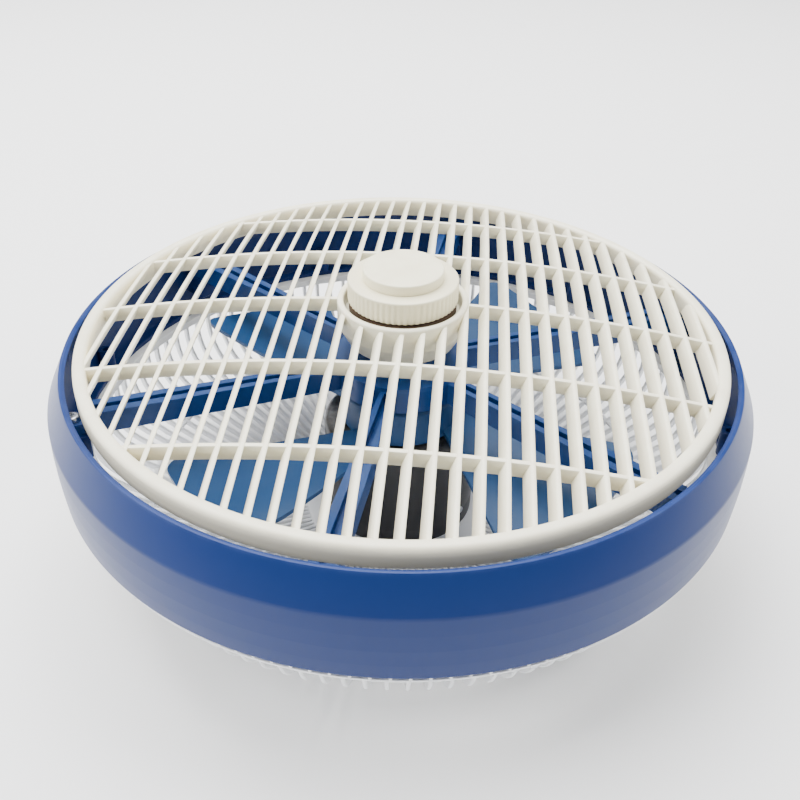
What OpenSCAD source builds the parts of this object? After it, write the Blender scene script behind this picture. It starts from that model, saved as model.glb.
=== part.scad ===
// Vehicle roof fan: drum ring, rear cage, motor and impeller, turning louvre grille and its lock knob.
// The fan lies on the back of its cage with the grille up. Millimetres, +Z along the fan's axis.

/* [Drum ring] */
// Height of the rear cage's flange above the resting face
cage_h = 60; // [52:1:80]
// Height of the drum ring
ring_h = 49.5; // [46:0.5:60]
// Outer radius of the ring at its crease
ring_crease_r = 166.5; // [140:0.5:190]
// How far the open top edge stands in from the crease
ring_slope = 6; // [4:0.5:10]
// Drop from the top edge to the crease
ring_crease_drop = 17; // [12:0.5:18]
// Wall of the ring
ring_wall = 2.8; // [2:0.1:3]
// Thickness of the ring's bottom flange
ring_flange_t = 2.5; // [2:0.1:4]

/* [Front spider] */
// Number of arms
arm_count = 6; // [3:1:8]
// Angle of the first arm
arm_angle = 25; // [0:1:59]
// Width of an arm at the centre boss
arm_root_w = 7.5; // [6.5:0.1:9]
// Width of an arm at the ring
arm_tip_w = 11.5; // [10:0.1:14]
// Depth of an arm
arm_h = 11; // [9:0.5:13]
// Width of the channel along the top of an arm
channel_w = 3; // [2:0.1:4]
// Depth of the channel
channel_d = 4; // [2:0.5:5]
// Drop from the ring's top edge to the arms' top
arm_drop = 14.5; // [13:0.5:17]
// Radius of the centre boss
boss_r = 32.5; // [28:0.5:36]

/* [Rear cage] */
// Number of ribs
rib_count = 114; // [60:6:132]
// Width of a rib
rib_w = 1.8; // [1.2:0.1:2]
// Depth of the ribs and hoop through the cage wall
rib_t = 3.4; // [2.5:0.1:5]
// Radius of the hoop that ties the ribs
hoop_r = 129.7; // [115:0.5:138]
// Width of the hoop
hoop_w = 2.4; // [1.5:0.1:4]
// How far the cage wall stands in from the ring's crease
cage_inset = 9.5; // [9:0.5:11]
// Radius of the cage's lower corner
cage_corner_r = 30; // [24:1:36]
// Radius of the flat centre plate
plate_r = 50; // [48:0.5:60]
// Thickness of the centre plate
plate_t = 5; // [4.5:0.1:7]
// How far the cage flange's edge stands in from the ring's crease
cage_flange_inset = 2.2; // [1.5:0.1:2.5]
// Thickness of the cage flange
cage_flange_t = 4; // [3:0.1:6]
// Radius of the roof bolt holes' circle
mount_circle_r = 44.5; // [44:0.1:45]
// Radius of the roof bolt holes
mount_hole_r = 2.75; // [2:0.05:3]

/* [Motor] */
// Outer radius of the motor can
motor_r = 39; // [38:0.5:40]
// Wall of the motor can
can_wall = 2; // [1.5:0.1:2.5]
// Height of the motor from the plate to the can's closed end
motor_h = 55; // [48:0.5:55]
// Radius of the motor shaft
shaft_r = 4; // [3:0.1:4.5]
// Radius of the rotor core
rotor_r = 24; // [20:0.5:26]
// Length of the rotor core
rotor_h = 22; // [16:0.5:24]
// Number of rotor slots
slot_count = 12; // [6:1:16]

/* [Impeller] */
// Number of blades
blade_count = 4; // [3:1:6]
// Angle of the first blade's middle
blade_angle = 45; // [0:1:89]
// Radius of the blade tips
blade_tip_r = 120.5; // [110:0.5:130]
// Angle from a blade's middle to the direction of its high edge
high_edge_turn = 20; // [16:0.5:24]
// Distance of the high edge's line from the axis
high_edge_off = 11; // [6:0.5:16]
// Angle from a blade's middle to the direction of its low edge
low_edge_turn = 23; // [19:0.5:26]
// Distance of the low edge's line from the axis
low_edge_off = 14.5; // [8:0.5:16]
// Thickness of a blade
blade_t = 2; // [1.5:0.1:2.4]
// Radius of the blade's camber
camber_r = 185; // [175:1:260]
// Angle from a blade's middle to the camber's axis
camber_turn = 9; // [4:0.5:12]
// Distance of the blade's lowest line from the axis
camber_off = 11; // [6:0.5:12]
// Corner radius at the blade's high edge
corner_high = 10; // [5:0.5:14]
// Corner radius at the blade's low edge
corner_low = 8; // [5:0.5:12]
// Radius of the impeller hub
hub_r = 30; // [27:0.5:32]
// Height of the impeller hub
hub_h = 19; // [17:0.5:19]

/* [Louvre grille] */
// Gap between the grille's rim and the ring's top edge
grille_gap = 5.2; // [2:0.1:8]
// Height of the grille's rim above the ring's top edge
grille_lift = 3.8; // [0:0.1:5]
// Angle at which the louvre rests
louvre_rest = 2; // [-10:1:10]
// Width of the grille's rim
rim_w = 6; // [4:0.5:9]
// Height of the grille's rim
rim_h = 10; // [7:0.5:10.5]
// Rise of the dome from the rim to the centre
dome_rise = 13.4; // [9:0.1:14]
// Distance between slats
slat_pitch = 9.4; // [8:0.1:12]
// Offset of the slats from the middle
slat_shift = 2.2; // [0:0.1:4]
// Thickness of a slat
slat_t = 2; // [1.4:0.1:2.6]
// Depth of a slat along the axis
slat_depth = 6.3; // [4:0.1:7]
// Lean of the slats
slat_lean = 24; // [10:1:30]
// Distance between cross bars
bar_pitch = 52.3; // [45:0.1:60]
// Thickness of a cross bar
bar_t = 2.4; // [1.6:0.1:3.2]
// Depth of a cross bar along the axis
bar_depth = 7; // [5:0.1:8]
// Outer radius of the grille's hub ring
hub_ring_r = 31; // [30:0.5:34]
// Height of the hub ring above the rim's top
hub_ring_rise = 14.4; // [13:0.1:16]

/* [Spindle and lock] */
// Radius of the fixed spindle
spindle_r = 4; // [3.5:0.1:4.5]
// Radius of the knob's base
knob_r = 26; // [22:0.5:28]
// Height of the knob's base
knob_base_h = 9; // [6:0.1:11]
// Radius of the knob's cap
cap_r = 19; // [16:0.5:21]
// Height of the knob's cap
cap_h = 5; // [4.5:0.1:7]
// Gap between the hub ring and the knob
knob_gap = 1.9; // [1.4:0.1:3]
// Travel of the brake disc
brake_travel = 1; // [0.6:0.1:1.2]

/* [Fits] */
// Radial clearance of turning and sliding fits
run_clear = 0.08; // [0.04:0.01:0.1]
// Gap between faces that move past each other
face_gap = 0.3; // [0.25:0.05:0.4]

/* [Hidden] */
$fn = 96;
eps = 0.01;
over = 1;

ring_z = cage_h;
ring_top = ring_z + ring_h;
ring_top_r = ring_crease_r - ring_slope;
grille_r = ring_top_r - ring_wall - grille_gap;
cage_r = ring_crease_r - cage_inset;
cage_flange_r = ring_crease_r - cage_flange_inset;
arm_top = ring_top - arm_drop;
arm_z = arm_top - arm_h;

function polar(r, a) = [r * cos(a), r * sin(a)];

// A body of revolution from a list of [radius, height] corners
module turned(points) {
    rotate_extrude() polygon(points);
}

// A tube between two heights
module tube(inner, outer, z0, z1) {
    difference() {
        translate([0, 0, z0]) cylinder(r = outer, h = z1 - z0);
        translate([0, 0, z0 - over]) cylinder(r = inner, h = z1 - z0 + 2 * over);
    }
}

// A disc whose upper edge is rounded by a quarter circle
module soft_disc(r, h, edge) {
    rotate_extrude() {
        difference() {
            square([r, h]);
            difference() {
                translate([r - edge, h - edge]) square(edge + over);
                translate([r - edge, h - edge]) circle(r = edge);
            }
        }
    }
}

// Copies at equal angles round the axis
module around(count, first = 0) {
    for (i = [0 : count - 1]) {
        rotate([0, 0, first + i * 360 / count]) children();
    }
}

// A pan-headed screw whose head stands on z = 0 and whose shank goes down
module screw(r, length, head_r, head_h) {
    difference() {
        union() {
            translate([0, 0, -length]) cylinder(r = r, h = length + eps);
            soft_disc(head_r, head_h, head_h * 0.45);
        }
        for (a = [0, 90]) {
            rotate([0, 0, a]) translate([-head_r * 0.55, -head_r * 0.11, head_h * 0.45])
                cube([head_r * 1.1, head_r * 0.22, head_h]);
        }
    }
}

// Ring: sloped upper band, crease, near-vertical lower band
ring_low_r = ring_crease_r + 0.3;
ring_foot_r = ring_crease_r - 0.5;
ring_low_rise = 16;
ring_low_z = ring_z + ring_low_rise;
ring_crease_z = ring_top - ring_crease_drop;
ledge_h = 12;
ledge_w = 14;
ledge_in = ring_crease_r - 16.5;
foot_t = 6;
foot_inset = 0.5;
foot_r = ring_crease_r - 10.5;
screw_r = 1.9;
screw_head_r = 3.4;
screw_head_h = 2.4;
thread_r = 1.8;
pilot_r = thread_r + 0.05;
cage_screw_r = ring_crease_r - 5.5;
cage_screw_count = 6;
cage_screw_head_r = 2.9;
cage_screw_first = arm_angle + 180 / arm_count;
lug_r = 4;
lug_h = 16;
flange_in_r = ring_crease_r - 9;

module ring_section() {
    polygon([
        [flange_in_r, ring_z],
        [ring_foot_r, ring_z],
        [ring_low_r, ring_low_z],
        [ring_crease_r, ring_crease_z],
        [ring_top_r, ring_top],
        [ring_top_r - ring_wall, ring_top],
        [ring_crease_r - ring_wall, ring_crease_z - 1],
        [ring_low_r - ring_wall, ring_low_z],
        [ring_foot_r - ring_wall, ring_z + ring_flange_t],
        [flange_in_r, ring_z + ring_flange_t]
    ]);
}

module drum_ring() {
    color("royalblue") difference() {
        union() {
            rotate_extrude() ring_section();
            intersection() {
                around(arm_count, arm_angle) translate([ledge_in, -ledge_w / 2, arm_z - ledge_h])
                    cube([ring_low_r - ledge_in, ledge_w, ledge_h]);
                translate([0, 0, ring_z]) cylinder(r = ring_low_r - ring_wall / 2, h = ring_h);
            }
            around(cage_screw_count, cage_screw_first) translate([cage_screw_r - 1, 0, ring_z + eps])
                cylinder(r = lug_r, h = lug_h);
        }
        around(arm_count, arm_angle) translate([foot_r, 0, arm_z - ledge_h + 2]) cylinder(r = pilot_r, h = ledge_h);
        around(cage_screw_count, cage_screw_first) translate([cage_screw_r, 0, ring_z - over])
            cylinder(r = pilot_r, h = lug_h - 1);
    }
}

// Spider: six channelled arms from the centre boss to the ring's ledges
arm_end = ring_crease_r - 4.5;
arm_full_end = ring_crease_r - 15.5;
boss_h = 13;
boss_drop = 0.5;
boss_top = arm_z + boss_h;
boss_cavity_r = boss_r - 4.5;
boss_roof_t = 3.5;
boss_roof_z = boss_top - boss_roof_t;
spindle_bore = spindle_r + 0.02;

module arm_plan(end, grow) {
    polygon([
        [boss_r - 2, -arm_root_w / 2 - grow],
        [end, -arm_tip_w / 2 - grow],
        [end, arm_tip_w / 2 + grow],
        [boss_r - 2, arm_root_w / 2 + grow]
    ]);
}

module spider() {
    color("steelblue") difference() {
        union() {
            around(arm_count, arm_angle) {
                difference() {
                    translate([0, 0, arm_z]) linear_extrude(arm_h) arm_plan(arm_full_end, 0);
                    translate([boss_r + 1, -channel_w / 2, arm_top - channel_d])
                        cube([arm_full_end, channel_w, channel_d + over]);
                }
                translate([arm_full_end - 1, -arm_tip_w / 2 + foot_inset, arm_z])
                    cube([arm_end - arm_full_end + 1, arm_tip_w - 2 * foot_inset, foot_t]);
            }
            translate([0, 0, arm_z - boss_drop]) cylinder(r = boss_r, h = boss_h + boss_drop);
        }
        translate([0, 0, arm_z - over]) cylinder(r = boss_cavity_r, h = boss_roof_z - arm_z + over);
        translate([0, 0, boss_roof_z - over]) cylinder(r = spindle_bore, h = boss_roof_t + 2 * over);
        around(arm_count, arm_angle) translate([foot_r, 0, arm_z - over]) cylinder(r = screw_r + 0.3, h = foot_t + 2 * over);
    }
}

module spider_screws() {
    color("silver") around(arm_count, arm_angle) translate([foot_r, 0, arm_z + foot_t])
        screw(thread_r, foot_t + ledge_h - 4, screw_head_r, screw_head_h);
}

// Rear cage: ribs, their hoop, the centre plate and the flange
cage_top = cage_h - cage_flange_t;
flange_ring_in = cage_r - rib_t - 0.5;
motor_screw_circle = 31;
motor_screw_head_r = 3.4;
motor_screw_count = 3;
motor_screw_first = 30;
mount_count = 4;
bearing_boss_r = 11;
grommet_x = 18;
grommet_r = 5;

// One rib is flat at the plate, a long sweep, the corner, and a short upright into the flange
rib_lift = 0.35;
rib_step = 0.2;
rib_start = plate_r + 3;
rib_upright = 4;
rib_depth = cage_top - rib_lift - rib_upright;
rib_run = cage_r - cage_corner_r - rib_start;
sweep_r = (rib_run * rib_run + rib_depth * rib_depth - cage_corner_r * cage_corner_r) / (2 * (rib_depth - cage_corner_r));
knee = asin(rib_run / (sweep_r - cage_corner_r));

// A band along an arc from angle a0 to a1, thicker by grow on both sides
module arc_band(x, z, r, a0, a1, grow) {
    reach = 2 * r;
    translate([x, z]) intersection() {
        difference() {
            circle(r = r + grow);
            circle(r = r - rib_t - grow);
        }
        polygon([[0, 0], polar(reach, a0 - 90), polar(reach, (a0 + a1) / 2 - 90), polar(reach, a1 - 90)]);
    }
}

module rib_profile() {
    translate([plate_r - 4, rib_lift - rib_step]) square([rib_start - plate_r + 4.5, rib_t + 2 * rib_step]);
    arc_band(rib_start, rib_lift + sweep_r, sweep_r, 0, knee, 0);
    arc_band(cage_r - cage_corner_r, cage_top - rib_upright, cage_corner_r, knee - 1, 90, rib_step);
    translate([cage_r - rib_t, cage_top - rib_upright - 0.5]) square([rib_t, rib_upright + 2.5]);
}

module rib() {
    rotate([90, 0, 0]) translate([0, 0, -rib_w / 2]) linear_extrude(rib_w) rib_profile();
}

hoop_height = rib_lift + sweep_r - sqrt(pow(sweep_r - rib_t / 2, 2) - pow(hoop_r - rib_start, 2));
hoop_t = 1.6;

module rear_cage() {
    color("whitesmoke") difference() {
        union() {
            around(rib_count) rib();
            tube(hoop_r - hoop_w / 2, hoop_r + hoop_w / 2, hoop_height - hoop_t / 2, hoop_height + hoop_t / 2);
            cylinder(r = plate_r, h = plate_t);
            tube(flange_ring_in, cage_flange_r, cage_top, cage_h);
        }
        translate([0, 0, -over]) cylinder(r = bearing_boss_r + 0.3, h = plate_t + 2 * over);
        around(mount_count, 45) translate([mount_circle_r, 0, -over]) cylinder(r = mount_hole_r, h = plate_t + 2 * over);
        around(motor_screw_count, motor_screw_first) translate([motor_screw_circle, 0, -over]) {
            cylinder(r = screw_r + 0.3, h = plate_t + 2 * over);
            cylinder(r = motor_screw_head_r + 0.5, h = screw_head_h + 0.3 + over);
        }
        translate([0, -grommet_x, -over]) cylinder(r = grommet_r, h = plate_t + 2 * over);
        around(cage_screw_count, cage_screw_first) translate([cage_screw_r, 0, cage_top - over])
            cylinder(r = screw_r + 0.3, h = cage_flange_t + 2 * over);
    }
}

module cage_screws() {
    color("silver") around(cage_screw_count, cage_screw_first) translate([cage_screw_r, 0, cage_top])
        rotate([180, 0, 0]) screw(thread_r, lug_h - 1, cage_screw_head_r, screw_head_h);
}

// Motor: steel can on a moulded end cap that stands on the cage's plate
end_cap_h = 9;
end_cap_floor = 3;
can_z = plate_t + end_cap_h;
can_top = plate_t + motor_h;
can_edge = 3;
lip_r = motor_r - can_wall - face_gap;
lip_h = 3;
lip_wall = 2;
bearing_r = 7.5;
bearing_h = 6;
seat_gap = 0.05;
boss_floor_z = 1;
rear_bearing_z = boss_floor_z + 2;
front_bearing_h = 4.6;
can_boss_h = 5;
can_boss_r = bearing_r + 2.5;
shaft_bore = shaft_r + run_clear;
motor_boss_r = 4;
can_screw_r = 0.9;
can_screw_z = can_z + lip_h / 2;
can_screw_first = 90;
lead_r = 2.9;
lead_room = 0.7;
tab_x = 5.5;
tab_w = 4;
tab_t = 0.8;
tab_h = 8;
tab_z = plate_t + 0.5;
brush_w = 5;
brush_slack = 0.1;
holder_wall = 1;
holder_half = brush_w / 2 + brush_slack + holder_wall;
commutator_r = 11;
commutator_h = 9;
commutator_z = can_z + 1;
brush_z = commutator_z + commutator_h / 2 + 0.4;
holder_z0 = brush_z - holder_half;
holder_in = commutator_r + 2;
holder_len = 17;
post_x = 20;
post_len = 8;
brush_len = 14;

module motor_end_cap() {
    color("dimgray") difference() {
        union() {
            translate([0, 0, plate_t]) cylinder(r = motor_r, h = end_cap_h);
            translate([0, 0, plate_t]) cylinder(r = lip_r, h = end_cap_h + lip_h);
            translate([0, 0, boss_floor_z]) cylinder(r = bearing_boss_r, h = end_cap_h);
        }
        difference() {
            translate([0, 0, plate_t + end_cap_floor]) cylinder(r = lip_r - lip_wall, h = end_cap_h + lip_h);
            cylinder(r = bearing_boss_r, h = rear_bearing_z + bearing_h + 1);
            around(motor_screw_count, motor_screw_first) translate([motor_screw_circle, 0, 0])
                cylinder(r = motor_boss_r, h = can_z);
            around(2) translate([post_x, -holder_half, 0]) cube([post_len, 2 * holder_half, holder_z0]);
        }
        translate([0, 0, rear_bearing_z]) cylinder(r = bearing_r + seat_gap, h = end_cap_h + lip_h);
        around(motor_screw_count, motor_screw_first) translate([motor_screw_circle, 0, plate_t - over])
            cylinder(r = pilot_r, h = end_cap_h - 1 + over);
        around(3, can_screw_first) translate([lip_r - lip_wall - over, 0, can_screw_z]) rotate([0, 90, 0])
            cylinder(r = can_screw_r + seat_gap, h = lip_wall + 2 * over);
        translate([0, -grommet_x, plate_t - over]) cylinder(r = lead_r + lead_room, h = end_cap_floor + 2 * over);
        for (side = [-1, 1]) {
            translate([side * tab_x - tab_t / 2 - seat_gap, -grommet_x - tab_w / 2 - seat_gap, tab_z])
                cube([tab_t + 2 * seat_gap, tab_w + 2 * seat_gap, tab_h]);
        }
    }
}

module motor_can() {
    color("darkslategray") difference() {
        union() {
            translate([0, 0, can_z]) soft_disc(motor_r, can_top - can_z, can_edge);
            translate([0, 0, can_top - over]) cylinder(r = can_boss_r, h = can_boss_h + over);
        }
        translate([0, 0, can_z - over]) cylinder(r = motor_r - can_wall, h = can_top - can_wall - can_z + over);
        translate([0, 0, can_top - can_wall - over]) cylinder(r = shaft_r + 1.5, h = can_wall + 2 * over);
        translate([0, 0, can_top]) cylinder(r = bearing_r + seat_gap, h = can_boss_h + over);
        around(3, can_screw_first) translate([motor_r - can_wall - over, 0, can_screw_z]) rotate([0, 90, 0])
            cylinder(r = can_screw_r + 0.2, h = can_wall + 2 * over);
    }
}

// A part of a tube, half the given angle to each side of +X
module arc_tube(inner, outer, z0, z1, half) {
    reach = 3 * outer;
    intersection() {
        tube(inner, outer, z0, z1);
        translate([0, 0, z0 - over]) linear_extrude(z1 - z0 + 2 * over)
            polygon([[0, 0], polar(reach, -half), [reach, 0], polar(reach, half)]);
    }
}

magnet_half = 65;
magnet_h = 30;
core_lift = 14;
core_z = can_z + core_lift;
magnet_z = core_z - 4;
module motor_magnets() {
    color("gray") around(2, 90)
        arc_tube(rotor_r + 1, motor_r - can_wall - face_gap, magnet_z, magnet_z + magnet_h, magnet_half);
}

module front_bearing() {
    color("goldenrod") tube(shaft_bore, bearing_r, can_top, can_top + front_bearing_h);
}

module rear_bearing() {
    color("goldenrod") tube(shaft_bore, bearing_r, rear_bearing_z, rear_bearing_z + bearing_h);
}

module brush_holders() {
    color("gold") around(2) difference() {
        translate([holder_in, -holder_half, holder_z0]) cube([holder_len, 2 * holder_half, 2 * holder_half]);
        translate([holder_in - over, -brush_w / 2 - brush_slack, brush_z - brush_w / 2 - brush_slack])
            cube([holder_len - holder_wall + over, brush_w + 2 * brush_slack, brush_w + 2 * brush_slack]);
    }
}

module brushes() {
    color("black") around(2) translate([commutator_r + face_gap, -brush_w / 2, brush_z - brush_w / 2])
        cube([brush_len, brush_w, brush_w]);
}

module can_screws() {
    color("silver") around(3, can_screw_first) translate([motor_r, 0, can_screw_z]) rotate([0, 90, 0])
        screw(can_screw_r, can_wall + lip_wall, 2 * can_screw_r, 1.1);
}

module motor_screws() {
    color("silver") around(motor_screw_count, motor_screw_first)
        translate([motor_screw_circle, 0, screw_head_h + face_gap]) rotate([180, 0, 0])
            screw(thread_r, end_cap_h, motor_screw_head_r, screw_head_h);
}

module terminal_tabs() {
    color("gold") for (side = [-1, 1]) {
        translate([side * tab_x - tab_t / 2, -grommet_x - tab_w / 2, tab_z]) cube([tab_t, tab_w, tab_h]);
    }
}

module lead_grommet() {
    color("black") translate([0, -grommet_x, 0])
        tube(lead_r, grommet_r - seat_gap, face_gap, plate_t - face_gap);
}

// Rotor and impeller, turning together on the motor's shaft
hub_z = can_top + 2;
hub_top = hub_z + hub_h;
shaft_z0 = rear_bearing_z + 0.5;
shaft_stub = 6.5;
shaft_top = hub_top + shaft_stub;
shaft_seat = shaft_r + 0.02;
hub_wall = 2.5;
hub_plate_t = 3;
hub_tube_r = 7;
hub_tube_z = can_top + can_boss_h + 1;
hub_rib_z = hub_tube_z + 2;
hub_edge = 2.5;
washer_t = 1;
nut_h = 4;
nut_r = 7.5;
bar_groove = 0.5;
slot_r = 18;
slot_round = 3;
slot_first = 180 / slot_count;
winding_in = 9;
winding_out = 22.5;
winding_slope = 2;

module motor_shaft() {
    color("lightgray") turned([
        [0, shaft_z0],
        [shaft_r - 0.5, shaft_z0],
        [shaft_r, shaft_z0 + 0.5],
        [shaft_r, shaft_top - 1],
        [shaft_r - 1, shaft_top],
        [0, shaft_top]
    ]);
}

module rotor_core() {
    color("slategray") translate([0, 0, core_z]) linear_extrude(rotor_h) difference() {
        circle(r = rotor_r);
        circle(r = shaft_seat);
        around(slot_count, slot_first) {
            translate([slot_r, 0]) circle(r = slot_round);
            translate([slot_r, -0.8]) square([rotor_r - slot_r + over, 1.6]);
        }
    }
}

module rotor_windings() {
    low = commutator_z + commutator_h + 0.6;
    high = core_z + rotor_h;
    color("chocolate") union() {
        turned([
            [winding_in, core_z],
            [winding_in, low + 1],
            [winding_in + winding_slope, low],
            [winding_out - winding_slope, low],
            [winding_out, low + 1],
            [winding_out, core_z]
        ]);
        turned([
            [winding_in, high],
            [winding_out, high],
            [winding_out, high + 3],
            [winding_out - winding_slope, high + 5],
            [winding_in + winding_slope, high + 5],
            [winding_in, high + 3]
        ]);
        around(slot_count, slot_first) translate([slot_r, 0, core_z - over]) cylinder(r = slot_round - 0.2, h = rotor_h + 2 * over);
    }
}

module commutator() {
    color("orange") difference() {
        tube(shaft_seat, commutator_r, commutator_z, commutator_z + commutator_h);
        around(slot_count, slot_first) translate([commutator_r - 1, -bar_groove / 2, commutator_z - over])
            cube([2, bar_groove, commutator_h + 2 * over]);
    }
}

blade_low_z = hub_z + 1.5;
blade_room = hub_h + 2;
blade_reach = 2 * blade_tip_r;
camber_half = 1.3 * asin((blade_tip_r * 0.6 + camber_off) / camber_r);
corner_play = 0.05;

// A point at s along a line in direction a that passes the axis at distance d
function edge_point(a, d, s) = [s * cos(a) - d * sin(a), s * sin(a) + d * cos(a)];

// The material outside a rounded corner, between a blade's tip and its edge on the given side
module blade_corner(c, a, d, side) {
    inner = d - side * c;
    run = sqrt(pow(blade_tip_r - c, 2) - inner * inner);
    translate([0, 0, hub_z - over]) linear_extrude(blade_room + 2 * over) difference() {
        polygon([
            edge_point(a, inner, run),
            edge_point(a, inner + side * 2 * c, run),
            edge_point(a, inner + side * 2 * c, blade_reach),
            2 * edge_point(a, inner, run)
        ]);
        translate(edge_point(a, inner, run)) circle(r = c + corner_play);
    }
}

// The cambered skin, bent about an axis that runs along the blade
module camber_band() {
    translate([0, 0, blade_low_z]) rotate([0, 0, -camber_turn]) rotate([90, 0, 90]) linear_extrude(blade_reach)
        translate([-camber_off, camber_r]) intersection() {
            difference() {
                circle(r = camber_r + blade_t / 2, $fn = 360);
                circle(r = camber_r - blade_t / 2, $fn = 360);
            }
            polygon([[0, 0], polar(2 * camber_r, -90 - camber_half), polar(2 * camber_r, -90 + camber_half)]);
        }
}

module blade() {
    difference() {
        intersection() {
            tube(hub_r - hub_wall / 2, blade_tip_r, hub_z, hub_z + blade_room);
            translate([0, 0, hub_z - over]) linear_extrude(blade_room + 2 * over) polygon([
                edge_point(-low_edge_turn, low_edge_off, 0),
                edge_point(-low_edge_turn, low_edge_off, blade_reach),
                edge_point(high_edge_turn, high_edge_off, blade_reach),
                edge_point(high_edge_turn, high_edge_off, 0)
            ]);
            camber_band();
        }
        blade_corner(corner_high, high_edge_turn, high_edge_off, 1);
        blade_corner(corner_low, -low_edge_turn, low_edge_off, -1);
    }
}

module impeller() {
    color("royalblue") difference() {
        union() {
            difference() {
                translate([0, 0, hub_z]) soft_disc(hub_r, hub_h, hub_edge);
                translate([0, 0, hub_z - over]) cylinder(r = hub_r - hub_wall, h = hub_h - hub_plate_t + over);
            }
            translate([0, 0, hub_tube_z]) cylinder(r = hub_tube_r, h = hub_top - hub_plate_t - hub_tube_z + over);
            around(blade_count) translate([hub_tube_r - 1, -1, hub_rib_z])
                cube([hub_r - hub_tube_r - hub_wall + 2, 2, hub_top - hub_plate_t - hub_rib_z + over]);
            around(blade_count, blade_angle) blade();
        }
        translate([0, 0, hub_z]) cylinder(r = shaft_seat, h = hub_h + over);
    }
}

module impeller_washer() {
    color("silver") tube(shaft_r + 0.1, nut_r + 1, hub_top, hub_top + washer_t);
}

module hex_nut(bore, z0) {
    difference() {
        translate([0, 0, z0]) cylinder(r = nut_r, h = nut_h, $fn = 6);
        translate([0, 0, z0 - over]) cylinder(r = bore + seat_gap, h = nut_h + 2 * over);
    }
}

module impeller_nut() {
    color("silver") hex_nut(shaft_r, hub_top + washer_t);
}

// Fixed spindle on the spider's boss, and the stack that holds the louvre and lifts the brake
nut_z = boss_roof_z - nut_h;
spindle_z0 = nut_z - 0.5;
collar_r = 9;
collar_h = 2;
thrust_t = 1;
thrust_z = boss_top + collar_h;
bush_z = thrust_z + thrust_t + face_gap;
bush_flange_t = 1.7;
bush_flange_r = 9;
bush_r = 6.5;
hub_boss_z = bush_z + bush_flange_t;
hub_boss_r = 11;
hub_boss_h = 11;
bush_top = hub_boss_z + hub_boss_h + 1;
clip_z = bush_top + face_gap;
clip_t = 1.2;
clip_r = 8;
groove_r = spindle_r - 0.7;
seat_z = clip_z + clip_t;
seat_t = 0.8;
seat_r = 12;
spring_r = 10;
spring_wire = 1.6;
spring_z = seat_z + seat_t;
ledge_z = ring_top + 10.5;
lining_t = 2;
lining_z = ledge_z + brake_travel + face_gap;
disc_z = lining_z + lining_t;
disc_t = 3;
disc_r = knob_r - 0.5;
sleeve_r = 8;
sleeve_z = spring_z + brake_travel + 0.2;
sleeve_top = disc_z + disc_t + 0.7;
lining_in = 17.5;
knob_z = disc_z + disc_t + 3.1;
knob_top = knob_z + knob_base_h;
cam_in = 9;
cam_out = 14;
recess_r = 12;
recess_z = knob_top - 2.3;
spindle_top = recess_z + 0.1;
knob_screw_r = 1.95;
knob_screw_head_r = 6;
knob_screw_head_h = 2.8;
knob_screw_z = recess_z + face_gap;
knob_screw_len = 12;
spindle_run = spindle_r + run_clear;
flute_count = 60;
flute_r = 0.9;
plug_r = 9.5;
cap_edge = 1.2;
knob_edge = 2.4;

module spindle() {
    color("lightgray") difference() {
        union() {
            turned([
                [0, spindle_z0],
                [spindle_r - 0.5, spindle_z0],
                [spindle_r, spindle_z0 + 0.5],
                [spindle_r, spindle_top - 0.5],
                [spindle_r - 0.5, spindle_top],
                [0, spindle_top]
            ]);
            translate([0, 0, boss_top]) cylinder(r = collar_r, h = collar_h);
        }
        tube(groove_r, spindle_r + over, clip_z - seat_gap, clip_z + clip_t + seat_gap);
        translate([0, 0, spindle_top - knob_screw_len - over])
            cylinder(r = knob_screw_r + seat_gap, h = knob_screw_len + 2 * over);
    }
}

module spindle_nut() {
    color("silver") hex_nut(spindle_r, nut_z);
}

module thrust_washer() {
    color("white") tube(spindle_run, collar_r, thrust_z, thrust_z + thrust_t);
}

module retaining_clip() {
    color("dimgray") difference() {
        tube(groove_r + seat_gap, clip_r, clip_z, clip_z + clip_t);
        translate([0, -groove_r, clip_z - over]) cube([clip_r + over, 2 * groove_r, clip_t + 2 * over]);
    }
}

module spring_seat() {
    color("silver") tube(spindle_r + 0.1, seat_r, seat_z, seat_z + seat_t);
}

module release_spring() {
    color("silver") tube(spring_r - spring_wire / 2, spring_r + spring_wire / 2, spring_z, disc_z - face_gap);
}

// Grille: rim, leaning slats bent along the dome, cross bars, and the hub that turns on the spindle
dome_sink = 0.8;
grille_top = ring_top + grille_lift;
grille_in = grille_r - rim_w;
dome_h = dome_rise + dome_sink;
dome_r = (grille_in * grille_in + dome_h * dome_h) / (2 * dome_h);
dome_z = grille_top + dome_rise - dome_r;
rim_z = grille_top - rim_h;
rim_round = 2.4;
bar_sink = 0.4;
slat_half = floor((grille_in - slat_shift) / slat_pitch);
bar_rows = floor((grille_in - 12) / bar_pitch);
hub_in_r = knob_r + knob_gap;
hub_ring_top = grille_top + hub_ring_rise;
hub_lip = (hub_ring_r - hub_in_r) / 2;
ledge_t = 2.5;
ledge_in_r = 18;
hub_floor_z = grille_top - 3.5;
hub_floor_t = 3;
skirt_r = 26;
skirt_wall = 2.2;
skirt_z = hub_floor_z - 3.3;
skirt_top = grille_top + 2.5;

// Outer radius of the skirt at a height
function skirt_at(z) = skirt_r + (hub_ring_r - skirt_r) * (z - skirt_z) / (skirt_top - skirt_z);

// The layer between the dome and the dome lowered by a depth, from the hub ring to the rim
module dome_layer(sink, depth) {
    intersection() {
        difference() {
            translate([0, 0, dome_z - sink]) sphere(r = dome_r);
            translate([0, 0, dome_z - sink - depth]) sphere(r = dome_r);
        }
        tube(hub_ring_r - hub_lip, grille_in + rim_w / 2, grille_top - 2 * depth, grille_top + 2 * dome_rise);
    }
}

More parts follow.
